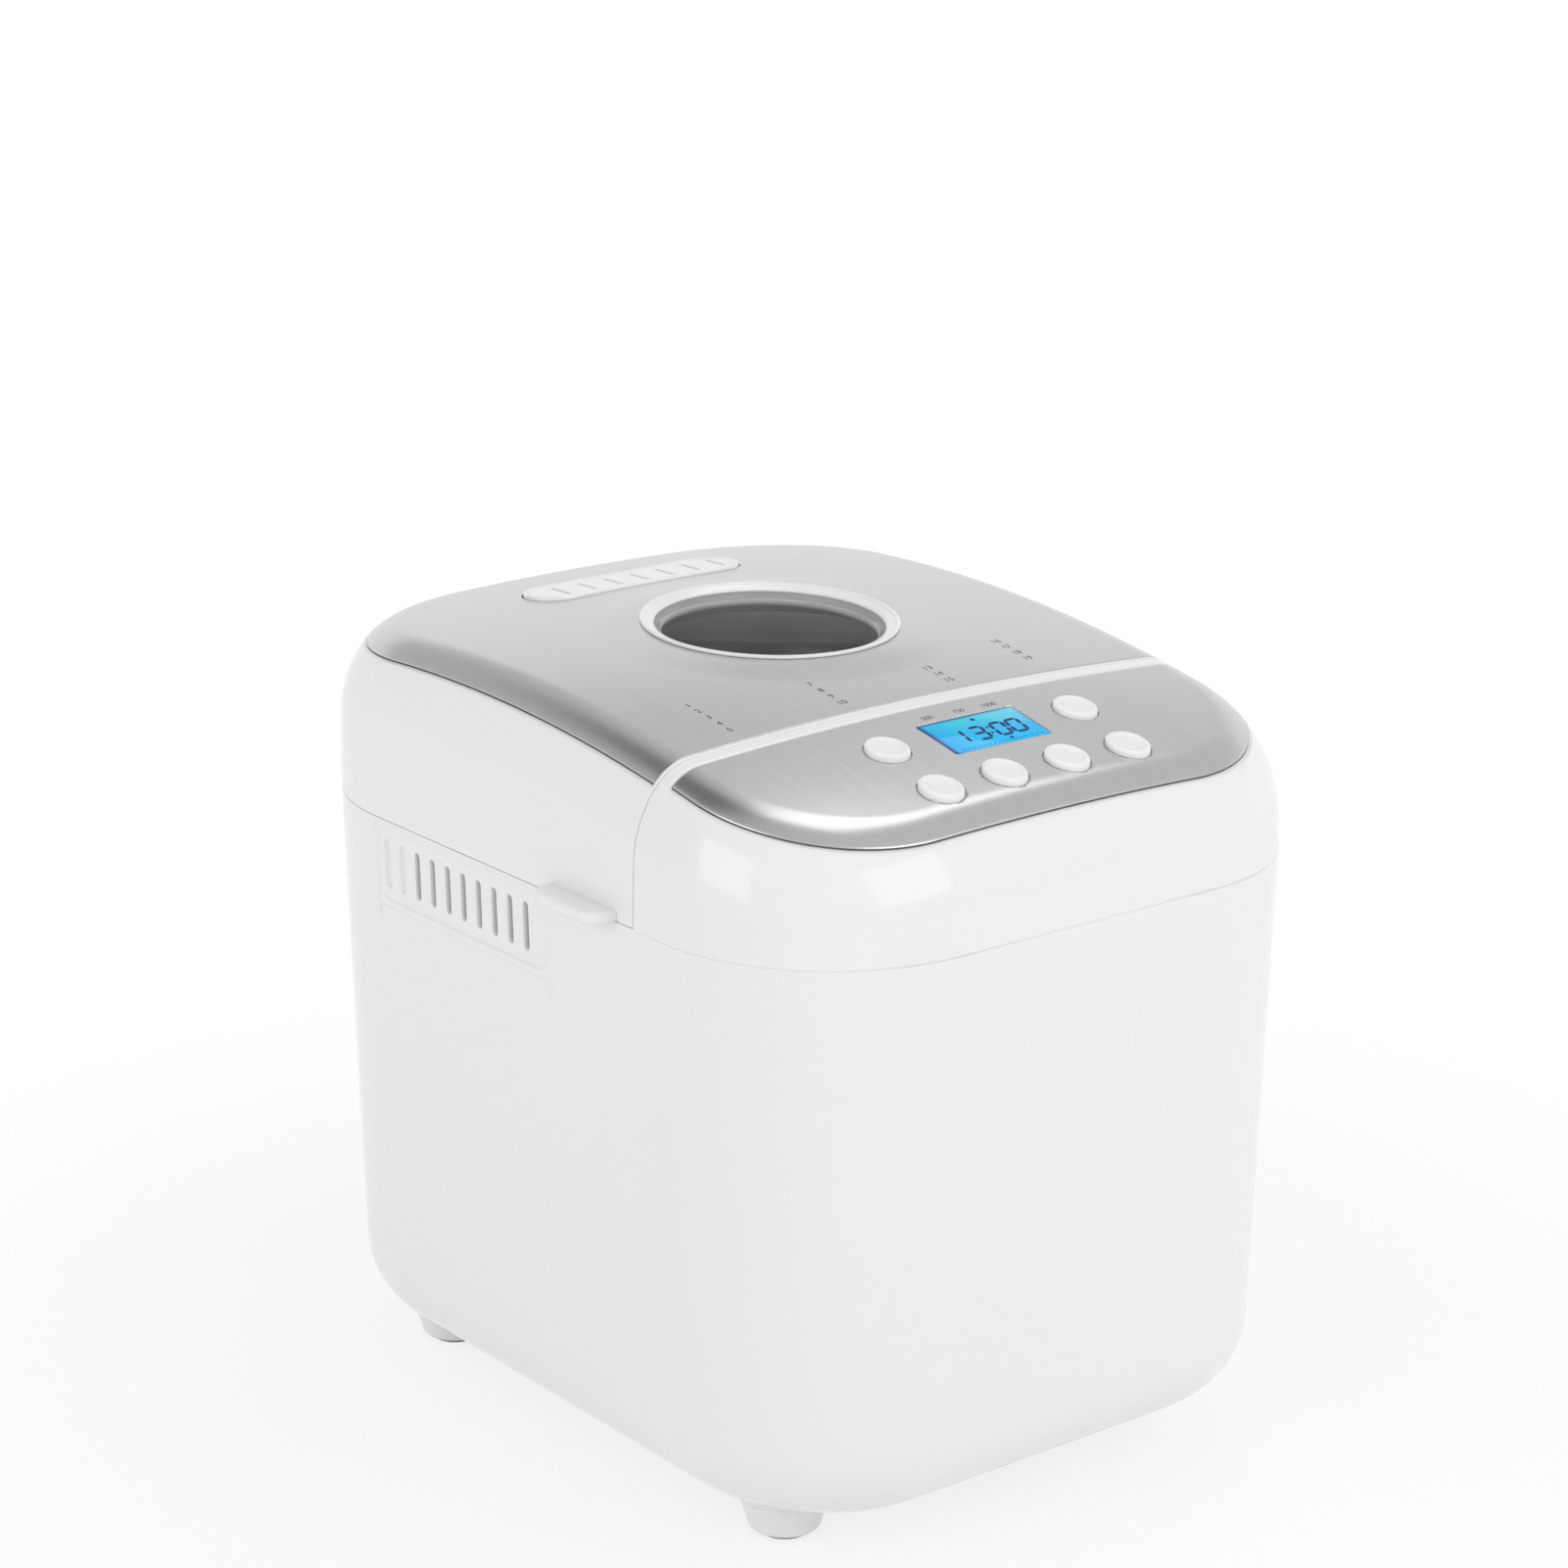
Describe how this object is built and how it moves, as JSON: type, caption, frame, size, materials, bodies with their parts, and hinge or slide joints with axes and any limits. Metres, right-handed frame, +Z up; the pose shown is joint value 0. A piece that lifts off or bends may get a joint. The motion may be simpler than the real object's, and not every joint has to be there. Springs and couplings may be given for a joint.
{
  "type": "bread machine",
  "caption": "Countertop bread machine: white body, hinged domed lid with a window and steam vent, lift-out pan and belt-driven kneading paddle.",
  "frame": {"origin": "on the table, under the middle of the body", "axes": "+X to the machine's left-hand side seen from the back (right seen from the front), +Y to the back, +Z up"},
  "size_m": [0.27, 0.316, 0.2891],
  "materials": {
    "white_gloss": "moulded gloss white",
    "white_vent": "moulded gloss white",
    "white_keys": "moulded gloss white with a dished top",
    "brushed_top": "brushed from side to side",
    "blue_lens": "backlit blue display window",
    "clear_glass": "clear flat glass",
    "rubber_pad": "matt grey rubber",
    "zinc_steel": "zinc-plated sheet",
    "grey_plastic": "matt light grey",
    "coated_sheet": "dark non-stick coating",
    "aluminium_sheet": "plain aluminium",
    "element_steel": "heat-browned steel tube",
    "ceramic": "ivory ceramic",
    "stainless": "bright stainless steel",
    "bronze": "sintered bronze",
    "silicone": "red silicone",
    "coated_paddle": "dark non-stick coating",
    "coupling_iron": "plain iron",
    "black_plastic": "matt black",
    "belt_rubber": "ribbed black rubber",
    "white_can": "white moulded can",
    "circuit_green": "green circuit board"
  },
  "bodies": {
    "base": {"lower_housing": "white_gloss", "base_plate": "zinc_steel", "feet": "white_gloss", "foot_pads": "rubber_pad", "base_screws": "zinc_steel", "top_deck": "grey_plastic", "front_cover": "white_gloss", "control_plate": "brushed_top", "lcd_lens": "blue_lens", "lcd_module": "grey_plastic", "control_board": "circuit_green", "tact_switches": "black_plastic", "control_screws": "zinc_steel", "hinge_pins": "zinc_steel", "chamber_liner": "coated_sheet", "heating_element": "element_steel", "element_insulators": "ceramic", "element_clips": "zinc_steel", "temperature_probe": "stainless", "pan_socket": "zinc_steel", "chassis": "zinc_steel", "bearing_housing": "aluminium_sheet", "bearing_bushes": "bronze", "drive_belt": "belt_rubber", "motor_stator": "coupling_iron", "motor_end_bells": "aluminium_sheet", "motor_capacitor": "white_can", "power_board": "circuit_green", "cord_gland": "black_plastic"},
    "lid": {"lid_shell": "white_gloss", "lid_plate": "brushed_top", "lid_frame": "white_gloss", "lid_liner": "aluminium_sheet", "lid_screws": "zinc_steel", "window_ring": "white_gloss", "window_glass": "clear_glass", "window_well": "zinc_steel", "inner_glass": "clear_glass", "steam_vent": "white_vent"},
    "pan": {"bread_pan": "coated_sheet", "pan_base": "aluminium_sheet", "pan_ears": "stainless", "pan_bearing": "bronze", "shaft_seal": "silicone"},
    "bail": {"bail_handle": "stainless"},
    "spindle": {"pan_shaft": "stainless"},
    "paddle": {"kneading_paddle": "coated_paddle"},
    "drive": {"drive_shaft": "stainless", "drive_coupling": "coupling_iron", "large_pulley": "black_plastic"},
    "motor": {"motor_shaft": "stainless", "motor_pulley": "aluminium_sheet", "motor_fan": "grey_plastic", "motor_rotor": "coupling_iron"},
    "key_menu": {"button_menu": "white_keys"},
    "key_start": {"button_start": "white_keys"},
    "key_weight": {"button_weight": "white_keys"},
    "key_timer_down": {"button_timer_down": "white_keys"},
    "key_timer_up": {"button_timer_up": "white_keys"},
    "key_crust": {"button_crust": "white_keys"}
  },
  "joints": [
    {"name": "lid_hinge", "type": "hinge", "parent": "base", "child": "lid", "pos_m": [0, 0.149, 0.22], "axis": [-1, 0, 0], "range_deg": [0, 85]},
    {"name": "pan_lift", "type": "slide", "parent": "base", "child": "pan", "axis": [0, 0, 1], "range_m": [0, 0.008]},
    {"name": "bail_swing", "type": "hinge", "parent": "pan", "child": "bail", "pos_m": [0, 0.032, 0.193], "axis": [1, 0, 0], "range_deg": [0, 147.9]},
    {"name": "spindle_turn", "type": "hinge", "parent": "pan", "child": "spindle", "pos_m": [0, 0.032, 0.08], "axis": [0, 0, 1], "continuous": true},
    {"name": "paddle_lift", "type": "slide", "parent": "spindle", "child": "paddle", "axis": [0, 0, 1], "range_m": [0, 0.018]},
    {"name": "drive_turn", "type": "hinge", "parent": "base", "child": "drive", "pos_m": [0, 0.032, 0.05], "axis": [0, 0, 1], "continuous": true},
    {"name": "motor_turn", "type": "hinge", "parent": "base", "child": "motor", "pos_m": [0, -0.108, 0.07], "axis": [0, 0, 1], "continuous": true},
    {"name": "menu_press", "type": "slide", "parent": "base", "child": "key_menu", "axis": [0, 0, -1], "range_m": [0, 0.0012], "stiffness_N_per_m": 600},
    {"name": "start_press", "type": "slide", "parent": "base", "child": "key_start", "axis": [0, 0, -1], "range_m": [0, 0.0012], "stiffness_N_per_m": 600},
    {"name": "weight_press", "type": "slide", "parent": "base", "child": "key_weight", "axis": [0, 0, -1], "range_m": [0, 0.0012], "stiffness_N_per_m": 600},
    {"name": "timer_down_press", "type": "slide", "parent": "base", "child": "key_timer_down", "axis": [0, 0, -1], "range_m": [0, 0.0012], "stiffness_N_per_m": 600},
    {"name": "timer_up_press", "type": "slide", "parent": "base", "child": "key_timer_up", "axis": [0, 0, -1], "range_m": [0, 0.0012], "stiffness_N_per_m": 600},
    {"name": "crust_press", "type": "slide", "parent": "base", "child": "key_crust", "axis": [0, 0, -1], "range_m": [0, 0.0012], "stiffness_N_per_m": 600}
  ],
  "couplings": [
    {"joint": "spindle_turn", "follows": "drive_turn", "ratio": 1},
    {"joint": "motor_turn", "follows": "drive_turn", "ratio": 5.25}
  ]
}
